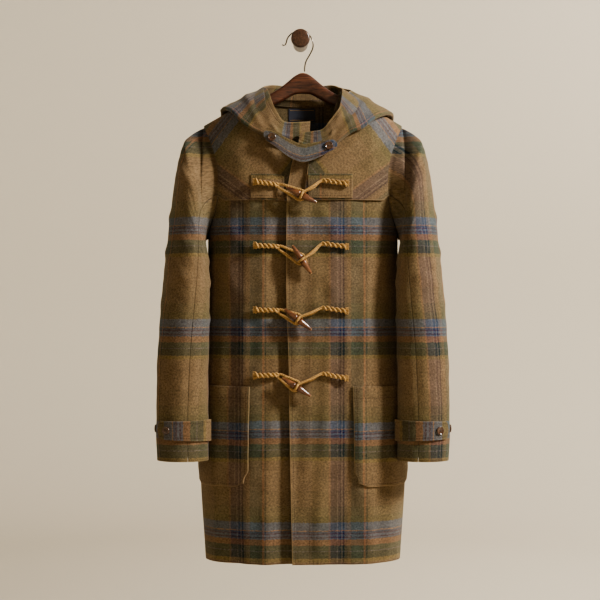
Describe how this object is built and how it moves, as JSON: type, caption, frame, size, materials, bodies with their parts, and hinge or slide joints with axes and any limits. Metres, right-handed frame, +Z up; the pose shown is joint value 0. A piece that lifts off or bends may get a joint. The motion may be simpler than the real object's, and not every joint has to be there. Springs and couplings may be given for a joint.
{
  "type": "duffle coat on a hanger and wall peg",
  "caption": "Hooded plaid duffle coat with toggle-and-cord front, patch pockets and cuff straps, hung on a wooden hanger from a round wall peg.",
  "frame": {"origin": "middle of the wall peg's flat back face, on the plane of the wall", "axes": "+Z up; the front of the coat faces -Y, away from the wall; +X is the wearer's left, on the right for someone who looks at the front"},
  "size_m": [0.5988, 0.2002, 1.0915],
  "materials": {
    "coat_cloth": "heavy wool duffle cloth in a tan, olive, blue-grey and rust plaid, brushed matte",
    "yoke_cloth": "heavy wool duffle cloth in a tan, olive, blue-grey and rust plaid, brushed matte, cut on the bias",
    "sleeve_cloth": "heavy wool duffle cloth in a tan, olive, blue-grey and rust plaid, brushed matte",
    "hood_cloth": "heavy wool duffle cloth in a tan, olive, blue-grey and rust plaid, brushed matte, the repeat turned",
    "trim_cloth": "heavy wool duffle cloth in a tan, olive, blue-grey and rust plaid, brushed matte, stripes across the strap",
    "cord": "twisted jute cord, matte",
    "horn": "polished brown horn",
    "button": "dark brown, satin",
    "woven_label": "woven navy label",
    "hanger_wood": "dark walnut, satin lacquer",
    "hook_steel": "bright wire",
    "peg_wood": "dark wood, satin"
  },
  "bodies": {
    "root": {"front_left": "coat_cloth", "front_right": "coat_cloth", "back": "coat_cloth", "yoke_left": "yoke_cloth", "yoke_right": "yoke_cloth", "yoke_back": "yoke_cloth", "sleeve_top_left": "sleeve_cloth", "sleeve_top_right": "sleeve_cloth", "sleeve_under_left": "sleeve_cloth", "sleeve_under_right": "sleeve_cloth", "hood_left": "hood_cloth", "hood_right": "hood_cloth", "hood_centre": "hood_cloth", "throat_tab": "trim_cloth", "cuff_strap_left": "trim_cloth", "cuff_strap_right": "trim_cloth", "pocket_left": "coat_cloth", "pocket_right": "coat_cloth", "cord_patch_left": "yoke_cloth", "cord_patch_right": "yoke_cloth", "neck_facing": "coat_cloth", "label": "woven_label", "hanger": "hanger_wood", "hanger_hook": "hook_steel", "wall_peg": "peg_wood", "loop_cord_1": "cord", "toggle_cord_1": "cord", "toggle_1": "horn", "loop_cord_2": "cord", "toggle_cord_2": "cord", "toggle_2": "horn", "loop_cord_3": "cord", "toggle_cord_3": "cord", "toggle_3": "horn", "loop_cord_4": "cord", "toggle_cord_4": "cord", "toggle_4": "horn", "throat_button_left": "button", "throat_button_right": "button", "cuff_button_front_left": "button", "cuff_button_back_left": "button", "cuff_button_front_right": "button", "cuff_button_back_right": "button"}
  },
  "joints": []
}
